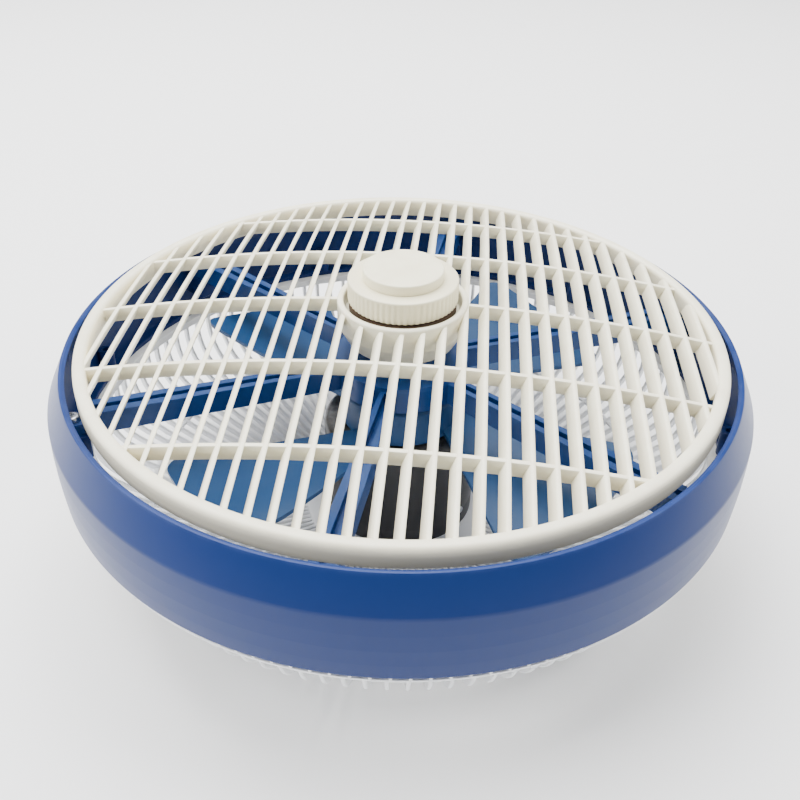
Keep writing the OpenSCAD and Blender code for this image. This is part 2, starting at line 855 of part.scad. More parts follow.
// Slats whose tops lean to +X, each at its place halfway up the dome
module slats() {
    half_x = slat_t / 2 / cos(slat_lean);
    down = 2 * slat_depth;
    up = 2 * dome_rise;
    for (k = [-slat_half : slat_half]) {
        x = k * slat_pitch + slat_shift - dome_rise / 2 * tan(slat_lean);
        translate([0, grille_in, grille_top]) rotate([90, 0, 0]) linear_extrude(2 * grille_in) polygon([
            [x - down * tan(slat_lean) - half_x, -down],
            [x - down * tan(slat_lean) + half_x, -down],
            [x + up * tan(slat_lean) + half_x, up],
            [x + up * tan(slat_lean) - half_x, up]
        ]);
    }
}

module bars() {
    for (k = [-bar_rows : bar_rows]) {
        translate([-grille_r, k * bar_pitch - bar_t / 2, grille_top - 2 * bar_depth])
            cube([2 * grille_r, bar_t, 2 * bar_depth + 2 * dome_rise]);
    }
}

module rim_section() {
    difference() {
        translate([grille_in, rim_z]) square([rim_w, rim_h]);
        difference() {
            translate([grille_r - rim_round, grille_top - rim_round]) square(rim_round + over);
            translate([grille_r - rim_round, grille_top - rim_round]) circle(r = rim_round);
        }
        difference() {
            translate([grille_in - over, grille_top - rim_round]) square(rim_round + over);
            translate([grille_in + rim_round, grille_top - rim_round]) circle(r = rim_round);
        }
    }
}

module hub_section() {
    polygon([
        [skirt_r, skirt_z],
        [hub_ring_r, skirt_top],
        [hub_ring_r, hub_ring_top - hub_lip],
        [hub_in_r, hub_ring_top - hub_lip],
        [hub_in_r, ledge_z],
        [ledge_in_r, ledge_z],
        [ledge_in_r, ledge_z - ledge_t],
        [hub_in_r, ledge_z - ledge_t],
        [hub_in_r, skirt_top + 1],
        [skirt_at(hub_floor_z + hub_floor_t) - skirt_wall, hub_floor_z + hub_floor_t],
        [hub_boss_r, hub_floor_z + hub_floor_t],
        [hub_boss_r, hub_boss_z + hub_boss_h],
        [bush_r + seat_gap, hub_boss_z + hub_boss_h],
        [bush_r + seat_gap, hub_boss_z],
        [hub_boss_r, hub_boss_z],
        [hub_boss_r, hub_floor_z],
        [skirt_at(hub_floor_z) - skirt_wall, hub_floor_z],
        [skirt_r - skirt_wall, skirt_z]
    ]);
    translate([hub_ring_r - hub_lip, hub_ring_top - hub_lip]) circle(r = hub_lip);
}

module louvre_grille() {
    color("ivory") union() {
        rotate_extrude() rim_section();
        rotate_extrude() hub_section();
        intersection() {
            dome_layer(0, slat_depth);
            rotate([0, 0, louvre_rest]) slats();
        }
        intersection() {
            dome_layer(bar_sink, bar_depth);
            rotate([0, 0, louvre_rest]) bars();
        }
    }
}

module louvre_bush() {
    color("goldenrod") union() {
        tube(spindle_run, bush_r, bush_z, bush_top);
        tube(spindle_run, bush_flange_r, bush_z, hub_boss_z);
    }
}

// Brake disc with its felt, and the two-step knob that presses it down
module brake_disc() {
    color("saddlebrown") union() {
        tube(spindle_run, disc_r, disc_z, disc_z + disc_t);
        tube(spindle_run, sleeve_r, sleeve_z, sleeve_top);
    }
}

module brake_lining() {
    color("gray") tube(lining_in, disc_r, lining_z, disc_z);
}

module knob_base() {
    color("ivory") difference() {
        union() {
            translate([0, 0, knob_z]) soft_disc(knob_r, knob_base_h, knob_edge);
            tube(cam_in, cam_out, disc_z + disc_t + face_gap, knob_z + 1);
        }
        translate([0, 0, knob_z - over]) cylinder(r = spindle_run, h = knob_base_h);
        translate([0, 0, recess_z]) cylinder(r = recess_r, h = knob_base_h);
        around(flute_count) translate([knob_r + flute_r * 0.55, 0, knob_z - over])
            cylinder(r = flute_r, h = knob_base_h - knob_edge / 2 + over);
    }
}

module knob_cap() {
    color("ivory") difference() {
        union() {
            translate([0, 0, knob_top]) soft_disc(cap_r, cap_h, cap_edge);
            translate([0, 0, recess_z + face_gap]) cylinder(r = recess_r - seat_gap, h = knob_top - recess_z);
        }
        translate([0, 0, recess_z]) cylinder(r = plug_r, h = knob_top - recess_z + cap_h / 2);
    }
}

module knob_screw() {
    color("silver") translate([0, 0, knob_screw_z])
        screw(knob_screw_r, knob_screw_len, knob_screw_head_r, knob_screw_head_h);
}

drum_ring();
spider();
spider_screws();
rear_cage();
cage_screws();
motor_can();
motor_end_cap();
motor_magnets();
front_bearing();
rear_bearing();
brush_holders();
brushes();
can_screws();
motor_screws();
terminal_tabs();
lead_grommet();
motor_shaft();
rotor_core();
rotor_windings();
commutator();
impeller();
impeller_washer();
impeller_nut();
spindle();
spindle_nut();
thrust_washer();
retaining_clip();
spring_seat();
release_spring();
louvre_grille();
louvre_bush();
brake_disc();
brake_lining();
knob_base();
knob_cap();
knob_screw();
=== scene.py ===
import bpy
import bmesh
import math
from mathutils import Matrix, Vector


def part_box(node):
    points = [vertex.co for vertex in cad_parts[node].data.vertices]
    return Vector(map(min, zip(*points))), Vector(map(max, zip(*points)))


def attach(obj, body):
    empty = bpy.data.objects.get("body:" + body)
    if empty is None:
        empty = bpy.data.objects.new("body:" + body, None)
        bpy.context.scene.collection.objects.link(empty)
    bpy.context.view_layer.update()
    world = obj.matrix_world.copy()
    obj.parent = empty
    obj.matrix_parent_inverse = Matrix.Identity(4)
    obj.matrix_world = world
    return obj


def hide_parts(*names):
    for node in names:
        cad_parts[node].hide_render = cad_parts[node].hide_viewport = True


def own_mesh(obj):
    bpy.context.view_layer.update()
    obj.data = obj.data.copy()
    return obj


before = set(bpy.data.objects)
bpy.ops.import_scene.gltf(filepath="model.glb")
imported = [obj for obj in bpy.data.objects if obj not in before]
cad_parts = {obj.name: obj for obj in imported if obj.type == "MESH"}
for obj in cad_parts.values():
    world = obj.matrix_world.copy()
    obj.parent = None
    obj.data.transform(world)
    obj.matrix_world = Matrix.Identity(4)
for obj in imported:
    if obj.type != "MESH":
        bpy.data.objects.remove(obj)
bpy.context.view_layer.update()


# ---- Camera
# The photographer stood over the front edge of the table and looked down at the fan at 35 degrees.
# The camera is a hair off level, so its side axis is tilted by the same roll.
elevation = math.radians(35.4)
roll = math.radians(1.135)
around_fan = math.radians(6.0)
distance = 0.4725
film_width = 36.0
focal_length_px = 930.0
picture_px = 800.0
ahead = Vector((-math.sin(around_fan) * math.cos(elevation), math.cos(around_fan) * math.cos(elevation),
    -math.sin(elevation)))
level = Vector((math.cos(around_fan), math.sin(around_fan), 0.0))
upright = level.cross(ahead)
side_axis = level * math.cos(roll) + upright * math.sin(roll)
top_axis = upright * math.cos(roll) - level * math.sin(roll)
aim = Vector((-0.00042, -0.00004, 0.06823))
stand = aim - ahead * distance
camera_data = bpy.data.cameras.new("photo_camera")
camera_data.sensor_width = film_width
camera_data.lens = focal_length_px / picture_px * film_width
camera_data.clip_start = 0.01
camera = bpy.data.objects.new("photo_camera", camera_data)
camera.matrix_world = Matrix((
    (side_axis.x, top_axis.x, -ahead.x, stand.x),
    (side_axis.y, top_axis.y, -ahead.y, stand.y),
    (side_axis.z, top_axis.z, -ahead.z, stand.z),
    (0.0, 0.0, 0.0, 1.0)))
bpy.context.scene.collection.objects.link(camera)
bpy.context.scene.camera = camera


# ---- Table top and studio light
# A seamless white sheet lies under the fan, with a big soft box overhead and weaker ones at the sides.
# The sheet throws light back up into the ribs and the lower band of the ring.
sheet_mesh = bpy.data.meshes.new("white_sheet")
sheet_half = 6.0
sheet_z = -0.0002
sheet_corners = [(x * sheet_half, y * sheet_half, sheet_z) for x, y in ((-1, -1), (1, -1), (1, 1), (-1, 1))]
sheet_mesh.from_pydata(sheet_corners, [], [(0, 1, 2, 3)])
sheet = bpy.data.objects.new("white_sheet", sheet_mesh)
bpy.context.scene.collection.objects.link(sheet)
sheet_paper = bpy.data.materials.new("sheet_paper")
sheet_paper.use_nodes = True
paper = sheet_paper.node_tree.nodes["Principled BSDF"].inputs
paper["Base Color"].default_value = (0.93, 0.93, 0.93, 1)
paper["Roughness"].default_value = 0.9
paper["Specular IOR Level"].default_value = 0.1
sheet_mesh.materials.append(sheet_paper)
for name, place, width, watts in (
        ("soft_box_top", (-0.35, 0.55, 1.9), 1.9, 140.0),
        ("soft_box_left", (-1.7, -0.5, 1.0), 1.2, 40.0),
        ("soft_box_right", (1.8, 0.3, 1.2), 1.2, 32.0)):
    lamp = bpy.data.lights.new(name, "AREA")
    lamp.shape = "SQUARE"
    lamp.size = width
    lamp.energy = watts
    lamp_object = bpy.data.objects.new(name, lamp)
    lamp_object.location = place
    lamp_object.rotation_euler = (aim - Vector(place)).to_track_quat("-Z", "Y").to_euler()
    bpy.context.scene.collection.objects.link(lamp_object)
studio = bpy.data.worlds.new("studio_air")
studio.use_nodes = True
air = studio.node_tree.nodes["Background"].inputs
air["Color"].default_value = (0.94, 0.96, 1.0, 1)
air["Strength"].default_value = 0.4
bpy.context.scene.world = studio


# ---- What the pieces share
# Node trees written as Python arithmetic, procedural finishes, and plain makers of moulded shapes.
# Outlines are in millimetres, as on a drawing, and turn into metres when the mesh is made.
MM = 0.001


class Value:
    """A node's output that takes part in Python arithmetic."""

    def __init__(self, owner, socket):
        self.owner = owner
        self.socket = socket

    def math(self, operation, first, second=0.0):
        return self.owner.node("ShaderNodeMath", {"operation": operation}, {0: first, 1: second})

    def __add__(self, other):
        return self.math("ADD", self, other)

    def __sub__(self, other):
        return self.math("SUBTRACT", self, other)

    def __rsub__(self, other):
        return self.math("SUBTRACT", other, self)

    def __mul__(self, other):
        return self.math("MULTIPLY", self, other)

    def __truediv__(self, other):
        return self.math("DIVIDE", self, other)

    def __pow__(self, other):
        return self.math("POWER", self, other)

    def __lt__(self, other):
        return self.math("LESS_THAN", self, other)

    def __gt__(self, other):
        return self.math("GREATER_THAN", self, other)


class Wiring:
    """A node tree whose nodes are all made by node(), with its settings first and then its sockets."""

    def __init__(self, tree):
        self.tree = tree

    def node(self, kind, settings=None, sockets=None, out=0):
        made = self.tree.nodes.new(kind)
        for key, setting in (settings or {}).items():
            setattr(made, key, setting)
        for key, given in (sockets or {}).items():
            self.feed(made.inputs[key], given)
        return Value(self, made.outputs[out])

    def feed(self, socket, given):
        if isinstance(given, Value):
            self.tree.links.new(given.socket, socket)
        else:
            socket.default_value = given


class Finish(Wiring):
    """One procedural finish on a Principled shader. Fixed amounts go straight on the shader's sockets."""

    def __init__(self, name, **fixed):
        self.material = bpy.data.materials.new(name)
        self.material.use_nodes = True
        super().__init__(self.material.node_tree)
        self.shader = self.tree.nodes["Principled BSDF"]
        for socket, amount in fixed.items():
            self.shader.inputs[socket.replace("_", " ")].default_value = amount

    def place(self):
        return self.node("ShaderNodeTexCoord", out="Object")

    def noise(self, scale, detail=3.0, rough=0.5, where=None):
        return self.node("ShaderNodeTexNoise", {}, {
            "Vector": where or self.place(), "Scale": scale, "Detail": detail, "Roughness": rough})

    def blend(self, factor, first, second):
        ends = [(*colour, 1) if isinstance(colour, tuple) else colour for colour in (first, second)]
        return self.node("ShaderNodeMix", {"data_type": "RGBA"}, {"Factor": factor, 6: ends[0], 7: ends[1]},
            out=2)

    def band(self, amount, start, end):
        return self.node("ShaderNodeMapRange", {"interpolation_type": "SMOOTHSTEP"}, {
            "Value": amount, "From Min": start, "From Max": end})

    def axis(self, name):
        return self.node("ShaderNodeSeparateXYZ", {}, {0: self.place()}, out=name)

    def rubbed(self, low, high, scale=90.0):
        """Wear by handling: it grows from the height low up to high, and a noise breaks it up."""
        return self.band(self.axis("Z"), low, high) * self.band(self.noise(scale, 3.0, 0.6), 0.3, 0.65)

    def bump(self, height, distance):
        raised = self.node("ShaderNodeBump", {}, {"Height": height, "Distance": distance, "Strength": 1.0})
        self.drive("Normal", raised)

    def drive(self, socket, given):
        self.feed(self.shader.inputs[socket], given)


class Grower(Wiring):
    """A geometry tree with named inputs, which ends in real geometry with its finish set."""

    def __init__(self, name, **amounts):
        super().__init__(bpy.data.node_groups.new(name, "GeometryNodeTree"))
        sockets = self.tree.interface
        sockets.new_socket("Geometry", in_out="OUTPUT", socket_type="NodeSocketGeometry")
        sockets.new_socket("Seed", in_out="INPUT", socket_type="NodeSocketGeometry")
        for key, amount in amounts.items():
            kind = "NodeSocketInt" if isinstance(amount, int) else "NodeSocketFloat"
            sockets.new_socket(key, in_out="INPUT", socket_type=kind).default_value = amount
        sockets.new_socket("Finish", in_out="INPUT", socket_type="NodeSocketMaterial")
        entry = self.tree.nodes.new("NodeGroupInput")
        self.given = {socket.name: Value(self, socket) for socket in entry.outputs if socket.name}

    def close(self, geometry):
        solid = self.node("GeometryNodeRealizeInstances", {}, {"Geometry": geometry})
        painted = self.node("GeometryNodeSetMaterial", {},
            {"Geometry": solid, "Material": self.given["Finish"]})
        self.feed(self.tree.nodes.new("NodeGroupOutput").inputs[0], painted)

    def grow(self, name, finish, seed=None, **amounts):
        """A plain mesh object from this tree, its inputs set by identifier before it is evaluated."""
        holder = seed or bpy.data.objects.new(name + "_seed", bpy.data.meshes.new(name + "_seed"))
        if seed is None:
            bpy.context.scene.collection.objects.link(holder)
        maker = holder.modifiers.new("maker", "NODES")
        maker.node_group = self.tree
        for item in self.tree.interface.items_tree:
            if item.in_out == "INPUT" and item.name in amounts:
                maker[item.identifier] = amounts[item.name]
            elif item.in_out == "INPUT" and item.name == "Finish":
                maker[item.identifier] = finish.material
        ready = holder.evaluated_get(bpy.context.evaluated_depsgraph_get())
        mesh = bpy.data.meshes.new_from_object(ready)
        holder.modifiers.clear()
        bpy.data.objects.remove(holder)
        return finished(name, mesh, finish)


def finished(name, mesh, finish, sharp=35):
    """An object of a mesh with its doubles merged, its faces outward, smooth up to the sharp angle."""
    shape = bmesh.new()
    shape.from_mesh(mesh)
    bmesh.ops.remove_doubles(shape, verts=shape.verts, dist=1e-7)
    bmesh.ops.recalc_face_normals(shape, faces=shape.faces)
    shape.to_mesh(mesh)
    shape.free()
    mesh.shade_smooth()
    mesh.set_sharp_from_angle(angle=math.radians(sharp))
    mesh.materials.clear()
    mesh.materials.append(finish.material)
    piece = bpy.data.objects.new(name, mesh)
    bpy.context.scene.collection.objects.link(piece)
    return piece


def softened(corners, steps=5):
    """A closed outline of (x, z, rounding) corners in millimetres, with every corner turned into an arc."""
    line = []
    for number, (x, z, rounding) in enumerate(corners):
        here = Vector((x, z))
        if rounding <= 0:
            line.append((x, z))
            continue
        before = Vector(corners[number - 1][:2]) - here
        after = Vector(corners[(number + 1) % len(corners)][:2]) - here
        reach = min(rounding / math.tan(before.angle(after) / 2), 0.45 * before.length, 0.45 * after.length)
        start = here + before.normalized() * reach
        end = here + after.normalized() * reach
        for step in range(steps + 1):
            share = step / steps
            spot = (1 - share) ** 2 * start + 2 * share * (1 - share) * here + share ** 2 * end
            line.append((spot.x, spot.y))
    return line


def turned(name, outline, finish, steps=192, middle=(0.0, 0.0), cut=None):
    """A body of revolution from a closed outline. cut(radius, height, angle) may trim a radius."""
    points = []
    for step in range(steps):
        angle = 2 * math.pi * step / steps
        for radius, height in outline:
            radius = cut(radius, height, angle) if cut else radius
            x, y = middle[0] + radius * math.cos(angle), middle[1] + radius * math.sin(angle)
            points.append((x * MM, y * MM, height * MM))
    rows = len(outline)
    faces = []
    for step in range(steps):
        for row in range(rows):
            if outline[row][0] > 0 or outline[(row + 1) % rows][0] > 0:
                low, high = step * rows, (step + 1) % steps * rows
                faces.append((low + row, high + row, high + (row + 1) % rows, low + (row + 1) % rows))
    mesh = bpy.data.meshes.new(name)
    mesh.from_pydata(points, [], faces)
    return finished(name, mesh, finish)


def moulded(name, colour, shade, rough, worn, ripple=0.00004, **fixed):
    """A moulded plastic: slow colour drift, fine speckle, a faint ripple, and wear between two heights."""
    finish = Finish(name, **fixed)
    flow = finish.noise(9.0, 4.0, 0.55)
    speckle = finish.noise(260.0, 2.0, 0.6)
    rub = finish.rubbed(*worn)
    pale = tuple(min(1.0, part * 1.3 + 0.015) for part in shade)
    finish.drive("Base Color",
        finish.blend(rub * 0.35, finish.blend(flow * 0.8 + speckle * 0.2, colour, shade), pale))
    finish.drive("Roughness", flow * 0.08 + speckle * 0.05 + rub * 0.12 + (rough - 0.065))
    finish.bump(finish.noise(55.0, 2.0, 0.5) + speckle * 0.35, ripple)
    return finish


def dress(names, finish):
    """Gives solids that keep their own mesh a finish."""
    for name in names:
        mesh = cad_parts[name].data
        mesh.materials.clear()
        mesh.materials.append(finish.material)


copies = Grower("copies_round_axis", Count=6, First=0.0)
stations = copies.node("GeometryNodePoints", {}, {"Count": copies.given["Count"]})
turn = copies.given["First"] + copies.node("GeometryNodeInputIndex") * (2 * math.pi) / copies.given["Count"]
facing = copies.node("ShaderNodeCombineXYZ", {}, {"Z": turn})
copies.close(copies.node("GeometryNodeInstanceOnPoints", {},
    {"Points": stations, "Instance": copies.given["Seed"], "Rotation": facing}))


# ---- Drum ring
# The ring is one blue moulding: a sloped upper band, a soft crease and a near upright lower band.
# It is polished polypropylene with a clear gloss, and inside it stand the screw posts and arm ledges.
ring_blue = moulded("ring_blue", (0.006, 0.022, 0.112), (0.008, 0.0275, 0.134), 0.315, (0.1064, 0.1079),
    ripple=0.00002, Specular_IOR_Level=0.19)
ring_outline = softened([
    (157.5, 60, 0.4), (166, 60, 0.9), (166.5, 68, 12), (166.8, 76, 12), (166.78, 84, 12), (166.5, 92.5, 5),
    (159, 108, 0.5), (157.9, 108, 0.4), (156.4, 107.2, 0.3), (163.7, 91.5, 4), (164, 76, 12),
    (163.2, 62.5, 1.2), (157.5, 62.5, 0.5)], 8)
ring = turned("ring_shell", ring_outline, ring_blue, 288)
post_outline = softened([(1.85, 62.3, 0), (4, 62.3, 0), (4, 76, 0.5), (1.85, 76, 0.3)])
post_circle_r = 160.0
post = turned("ring_post", post_outline, ring_blue, 32, (post_circle_r, 0.0))
posts = copies.grow("ring_posts", ring_blue, post, Count=6, First=math.radians(55))
ledge_shape = bmesh.new()
ledge_place = Matrix.Translation((157.3 * MM, 0, 78 * MM))
ledge_size = Matrix.Diagonal((14.6 * MM, 14 * MM, 12 * MM, 1))
bmesh.ops.create_cube(ledge_shape, size=1.0, matrix=ledge_place @ ledge_size)
bmesh.ops.bevel(ledge_shape, geom=ledge_shape.edges[:], offset=0.7 * MM, segments=3, profile=0.5,
    affect="EDGES")
ledge_mesh = bpy.data.meshes.new("ring_ledge")
ledge_shape.to_mesh(ledge_mesh)
ledge_shape.free()
ledge = finished("ring_ledge", ledge_mesh, ring_blue)
ledges = copies.grow("ring_ledges", ring_blue, ledge, Count=6, First=math.radians(25))
for piece in (ring, posts, ledges):
    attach(piece, "housing")
    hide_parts("drum_ring")


# ---- Front spider
# Six channelled arms run from the centre boss to the ring, moulded in a deeper blue.
# The inside of the moulding is less polished than the ring's outer face.
arm_blue = moulded("arm_blue", (0.006, 0.046, 0.20), (0.009, 0.058, 0.24), 0.34, (0.0944, 0.0951),
    Specular_IOR_Level=0.35)
dress(["spider"], arm_blue)


# ---- Impeller
# One blue moulding of four swept blades on a round hub, pressed on the motor's shaft.
# Its blades have a satin face with faint marks of the mould's polish.
blade_blue = moulded("blade_blue", (0.014, 0.064, 0.188), (0.018, 0.078, 0.22), 0.38, (0.079, 0.0812),
    Specular_IOR_Level=0.35)
dress(["impeller"], blade_blue)


# ---- Rear cage
# A deep white basket of straight ribs with one hoop, a centre plate and the flange that meets the ring.
# White polypropylene with a satin gloss, a little rubbed on the flange's outer step.
cage_white = moulded("cage_white", (0.86, 0.87, 0.88), (0.8, 0.81, 0.83), 0.32, (0.0568, 0.0574), IOR=1.5)
plate_r, cage_r, corner_r, rib_t = 50.0, 157.0, 30.0, 3.4
upright_h, cage_top, rib_lift = 4.0, 56.0, 0.35
rib_root_r, hoop_r = 46.5, 129.7
run_start = plate_r + 3
rib_depth = cage_top - rib_lift - upright_h
rib_run = cage_r - corner_r - run_start
sweep_r = (rib_run ** 2 + rib_depth ** 2 - corner_r ** 2) / (2 * (rib_depth - corner_r))
knee = math.asin(rib_run / (sweep_r - corner_r))
rib_line = [(rib_root_r, rib_lift + rib_t / 2), (run_start, rib_lift + rib_t / 2)]
for step in range(1, 9):
    angle = knee * step / 8
    bend_r = sweep_r - rib_t / 2
    rib_line.append((run_start + bend_r * math.sin(angle), rib_lift + sweep_r - bend_r * math.cos(angle)))
for step in range(1, 8):
    angle = knee + (math.pi / 2 - knee) * step / 7
    bend_r = corner_r - rib_t / 2
    rib_line.append((cage_r - corner_r + bend_r * math.sin(angle),
        cage_top - upright_h - bend_r * math.cos(angle)))
rib_line.append((cage_r - rib_t / 2, cage_top + 1.5))
rib_path = bpy.data.meshes.new("rib_path")
rib_path.from_pydata([(x * MM, 0, z * MM) for x, z in rib_line],
    [(k, k + 1) for k in range(len(rib_line) - 1)], [])
rib_seed = bpy.data.objects.new("rib_path", rib_path)
bpy.context.scene.collection.objects.link(rib_seed)
basket = Grower("ribs_round_axis", Count=114, Width=0.0018, Depth=0.0034, Rounding=0.0005)
rib_curve = basket.node("GeometryNodeMeshToCurve", {}, {"Mesh": basket.given["Seed"]})
rib_section = basket.node("GeometryNodeCurvePrimitiveQuadrilateral", {},
    {"Width": basket.given["Width"], "Height": basket.given["Depth"]})
rib_soft = basket.node("GeometryNodeFilletCurve", {"mode": "POLY"},
    {"Curve": rib_section, "Count": 1, "Radius": basket.given["Rounding"]})
rib_solid = basket.node("GeometryNodeCurveToMesh", {},
    {"Curve": rib_curve, "Profile Curve": rib_soft, "Fill Caps": True})
rib_stations = basket.node("GeometryNodePoints", {}, {"Count": basket.given["Count"]})
rib_turn = basket.node("GeometryNodeInputIndex") * (2 * math.pi) / basket.given["Count"]
rib_facing = basket.node("ShaderNodeCombineXYZ", {}, {"Z": rib_turn})
basket.close(basket.node("GeometryNodeInstanceOnPoints", {},
    {"Points": rib_stations, "Instance": rib_solid, "Rotation": rib_facing}))
ribs = basket.grow("cage_ribs", cage_white, rib_seed)
hoop_z = rib_lift + sweep_r - math.sqrt((sweep_r - rib_t / 2) ** 2 - (hoop_r - run_start) ** 2)
hoop_in, hoop_out, hoop_low, hoop_high = hoop_r - 1.2, hoop_r + 1.2, hoop_z - 0.8, hoop_z + 0.8
hoop_outline = softened([
    (hoop_in, hoop_low, 0.4), (hoop_out, hoop_low, 0.4), (hoop_out, hoop_high, 0.4),
    (hoop_in, hoop_high, 0.4)], 3)
hoop = turned("cage_hoop", hoop_outline, cage_white, 228)
flange = turned("cage_flange", softened([
    (153.1, 56, 0.5), (164.3, 56, 0.5), (164.3, 57.3, 0.4), (160.6, 57.3, 0.2), (160.6, 60, 0),
    (153.1, 60, 0.5)], 4), cage_white, 288)
plate_t = 5
plate_outline = softened([(0, 0, 0), (plate_r, 0, 0.8), (plate_r, plate_t, 0.8), (0, plate_t, 0)], 4)
plate = turned("cage_plate", plate_outline, cage_white, 144)
drill_shape = bmesh.new()
drill_low, drill_high, counterbore_high = -2, 7, 2.7
boss_hole_r, lead_y, lead_hole_r = 11.3, -18, 5
bolt_circle_r, bolt_hole_r, screw_circle_r, counterbore_r = 44.5, 2.75, 31, 3.9
drills = [(0, 0, boss_hole_r, drill_low, drill_high), (0, lead_y, lead_hole_r, drill_low, drill_high)]
for angle in (math.radians(45 + 90 * k) for k in range(4)):
    drills.append((
        bolt_circle_r * math.cos(angle), bolt_circle_r * math.sin(angle), bolt_hole_r, drill_low, drill_high))
for angle in (math.radians(30 + 120 * k) for k in range(3)):
    drills.append((
        screw_circle_r * math.cos(angle), screw_circle_r * math.sin(angle), counterbore_r, drill_low,
        counterbore_high))
for x, y, radius, low, high in drills:
    bmesh.ops.create_cone(
        drill_shape, cap_ends=True, segments=48, radius1=radius * MM, radius2=radius * MM,
        depth=(high - low) * MM, matrix=Matrix.Translation((x * MM, y * MM, (low + high) / 2 * MM)))
drill_mesh = bpy.data.meshes.new("plate_drills")
drill_shape.to_mesh(drill_mesh)
drill_shape.free()
drill = bpy.data.objects.new("plate_drills", drill_mesh)
bpy.context.scene.collection.objects.link(drill)
drilling = plate.modifiers.new("drilling", "BOOLEAN")
drilling.object = drill
drilling.solver = "EXACT"
drilled = bpy.data.meshes.new_from_object(plate.evaluated_get(bpy.context.evaluated_depsgraph_get()))
bpy.data.objects.remove(plate)
bpy.data.objects.remove(drill)
plate = finished("cage_plate", drilled, cage_white)
tick_shape = bmesh.new()
tick_corners = [
    (160.4, -1.1, 59.9), (164.2, -1.1, 59.9), (164.2, -0.5, 57.1), (160.4, -0.5, 57.1),
    (160.4, 1.1, 59.9), (164.2, 1.1, 59.9), (164.2, 0.5, 57.1), (160.4, 0.5, 57.1)]
tick_points = [tick_shape.verts.new((x * MM, y * MM, z * MM)) for x, y, z in tick_corners]
for side in ((0, 1, 2, 3), (4, 7, 6, 5), (0, 4, 5, 1), (1, 5, 6, 2), (2, 6, 7, 3), (3, 7, 4, 0)):
    tick_shape.faces.new([tick_points[k] for k in side])
tick_mesh = bpy.data.meshes.new("flange_tick")
tick_shape.to_mesh(tick_mesh)
tick_shape.free()
tick = finished("flange_tick", tick_mesh, cage_white)
ticks = copies.grow("flange_ticks", cage_white, tick, Count=136, First=0.0)
for piece in (ribs, hoop, flange, plate, ticks):
    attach(piece, "housing")
    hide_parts("rear_cage")


# ---- Louvre grille
# One ivory ABS moulding: a rounded rim, leaning slats and cross bars under a shallow dome, and the hub ring.
# It turns on the spindle, and the top of its rim is a little rubbed.
grille_ivory = moulded("grille_ivory", (0.9, 0.85, 0.67), (0.87, 0.81, 0.62), 0.315, (0.1115, 0.1133),
    IOR=1.5)
rim = turned("grille_rim",
    softened([(146.5, 103.3, 0.6), (152.5, 103.3, 0.8), (152.5, 113.3, 2.6), (146.5, 113.3, 2.6)], 8),
    grille_ivory, 288)
hub = turned("grille_hub", softened([
    (26, 106.5, 0.6), (31, 115.8, 3), (31, 127.7, 1.5), (27.9, 127.7, 1.5), (27.9, 120, 0.5),
    (18, 120, 0.4), (18, 117.5, 0.4), (27.9, 117.5, 0.3), (27.9, 116.8, 0.3), (27.2, 112.8, 0.8),
    (11, 112.8, 0), (11, 113, 0.1), (6.55, 113, 0.3), (6.55, 102, 0.2), (11, 102, 0.3),
    (11, 109.8, 0.5), (25.6, 109.8, 0.6), (23.8, 106.5, 0.6)], 6), grille_ivory, 144)
lattice = Grower(
    "dome_lattice", Rows=31, Pitch=0.0094, Shift=0.0022, Thickness=0.002, Depth=0.0063,
    Lean=math.radians(24), Sink=0.0, Seam=0.0, Turn=math.radians(2),
    Reach=0.1484, Hub=0.0295, Dome=0.76281, Crown=0.1267, Rounding=0.0006)
given = lattice.given
# Each slat starts as a line of length 1 that is parked at Y of plus or minus park. Its own part of the way
# along that line, share, then lays it on the dome, from the hub or the middle out to the reach.
park = 2.0
strip = lattice.node("GeometryNodeCurvePrimitiveLine", {}, {"Start": (0, 0, 0), "End": (0, 1, 0)})
strip = lattice.node("GeometryNodeResampleCurve", {}, {"Curve": strip, "Count": 34})
field = lattice.node("GeometryNodeMeshGrid", {}, {
    "Size X": given["Pitch"] * (given["Rows"] - 1.0), "Size Y": 2 * park, "Vertices X": given["Rows"],
    "Vertices Y": 2})
strips = lattice.node("GeometryNodeInstanceOnPoints", {}, {"Points": field, "Instance": strip})
strips = lattice.node("GeometryNodeRealizeInstances", {}, {"Geometry": strips})
spot = lattice.node("GeometryNodeInputPosition")
across = lattice.node("ShaderNodeSeparateXYZ", {}, {0: spot}, out="X") + given["Shift"]
along = lattice.node("ShaderNodeSeparateXYZ", {}, {0: spot}, out="Y")
half = (along > 0.0) * 2.0 - 1.0
share = half * (along - half * park - 0.5) + 0.5
outer = (given["Reach"] ** 2.0 - across * across) ** 0.5
near_hub = across * across < given["Hub"] * given["Hub"]
room = given["Hub"] ** 2.0 - across * across
inner = near_hub * half * (room.math("MAXIMUM", room, 0.0) ** 0.5) + (1.0 - near_hub) * given["Seam"]
run = inner + (half * outer - inner) * share
dome_rise = (given["Dome"] ** 2.0 - across * across - run * run) ** 0.5
height = dome_rise - given["Dome"] + given["Crown"] - given["Sink"]
seat = lattice.node("ShaderNodeCombineXYZ", {}, {"X": across, "Y": run, "Z": height})
laid = lattice.node("GeometryNodeSetPosition", {}, {"Geometry": strips, "Position": seat})
laid = lattice.node("GeometryNodeSetCurveNormal", {"mode": "Z_UP"}, {"Curve": laid})
bar_section = lattice.node("GeometryNodeCurvePrimitiveQuadrilateral", {}, {
    "Width": given["Thickness"] / given["Lean"].math("COSINE", given["Lean"]), "Height": given["Depth"]})
bar_section = lattice.node("GeometryNodeFilletCurve", {"mode": "POLY"},
    {"Curve": bar_section, "Count": 2, "Radius": given["Rounding"]})
spot_two = lattice.node("GeometryNodeInputPosition")
wide = lattice.node("ShaderNodeSeparateXYZ", {}, {0: spot_two}, out="X")
